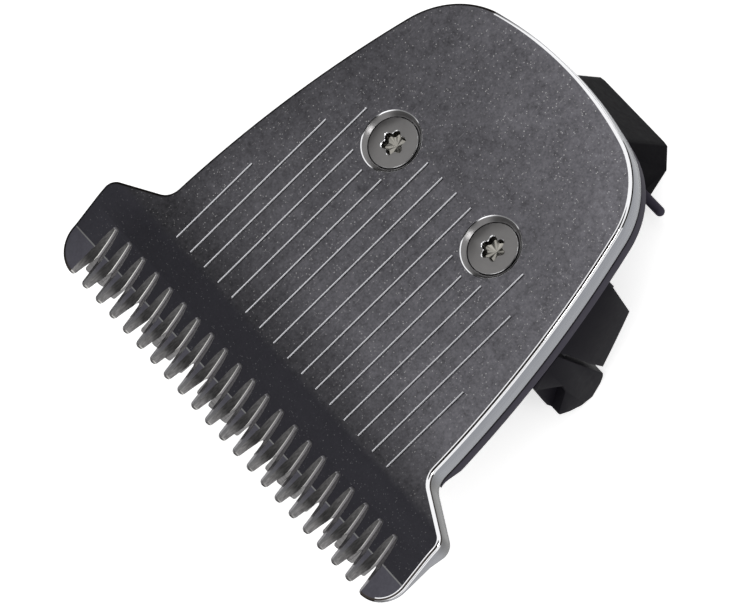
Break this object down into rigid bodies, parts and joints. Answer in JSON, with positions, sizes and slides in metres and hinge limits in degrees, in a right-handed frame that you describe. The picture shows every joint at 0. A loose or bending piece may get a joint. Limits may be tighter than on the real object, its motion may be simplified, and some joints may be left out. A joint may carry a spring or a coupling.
{
  "type": "hair trimmer cutting head",
  "caption": "Clip-on hair trimmer cutting head with a toothed T-shaped steel guard plate, a cutter sliding behind it and a plastic plug base.",
  "frame": {"origin": "centre of the bounding box, on the plane the plastic base stands on", "axes": "+Z out of the engraved face of the guard plate, -Y towards the tooth tips, X along the cutting width"},
  "size_m": [0.0356, 0.033, 0.0099],
  "materials": {
    "blasted_steel": "dark satin bead-blasted stainless steel with a polished edge",
    "ground_steel": "ground tool steel",
    "carrier_plastic": "natural moulded acetal",
    "spring_steel": "drawn spring wire",
    "black_plastic": "fine-textured black moulded plastic",
    "bright_steel": "bright turned steel screw",
    "brass": "knurled brass insert"
  },
  "bodies": {
    "head": {"guard_plate": "blasted_steel", "guide_rail": "ground_steel", "spring_left": "spring_steel", "spring_right": "spring_steel", "base_frame": "black_plastic", "plug_housing": "black_plastic", "plate_screws": "bright_steel", "screw_inserts": "brass"},
    "cutter": {"cutter_blade": "ground_steel", "cutter_carrier": "carrier_plastic", "carrier_rivets": "ground_steel"},
    "left_arm": {"snap_arm_left": "black_plastic"},
    "right_arm": {"snap_arm_right": "black_plastic"}
  },
  "joints": [
    {"name": "cutter_slide", "type": "slide", "parent": "head", "child": "cutter", "axis": [1, 0, 0], "range_m": [-0.00064, 0.00116]},
    {"name": "left_arm_flex", "type": "hinge", "parent": "head", "child": "left_arm", "pos_m": [-0.0123, 0.0015, 0.0067], "axis": [0, -1, 0], "range_deg": [0, 4], "stiffness_Nm_per_rad": 0.05},
    {"name": "right_arm_flex", "type": "hinge", "parent": "head", "child": "right_arm", "pos_m": [0.0123, 0.0015, 0.0067], "axis": [0, 1, 0], "range_deg": [0, 4], "stiffness_Nm_per_rad": 0.05}
  ]
}
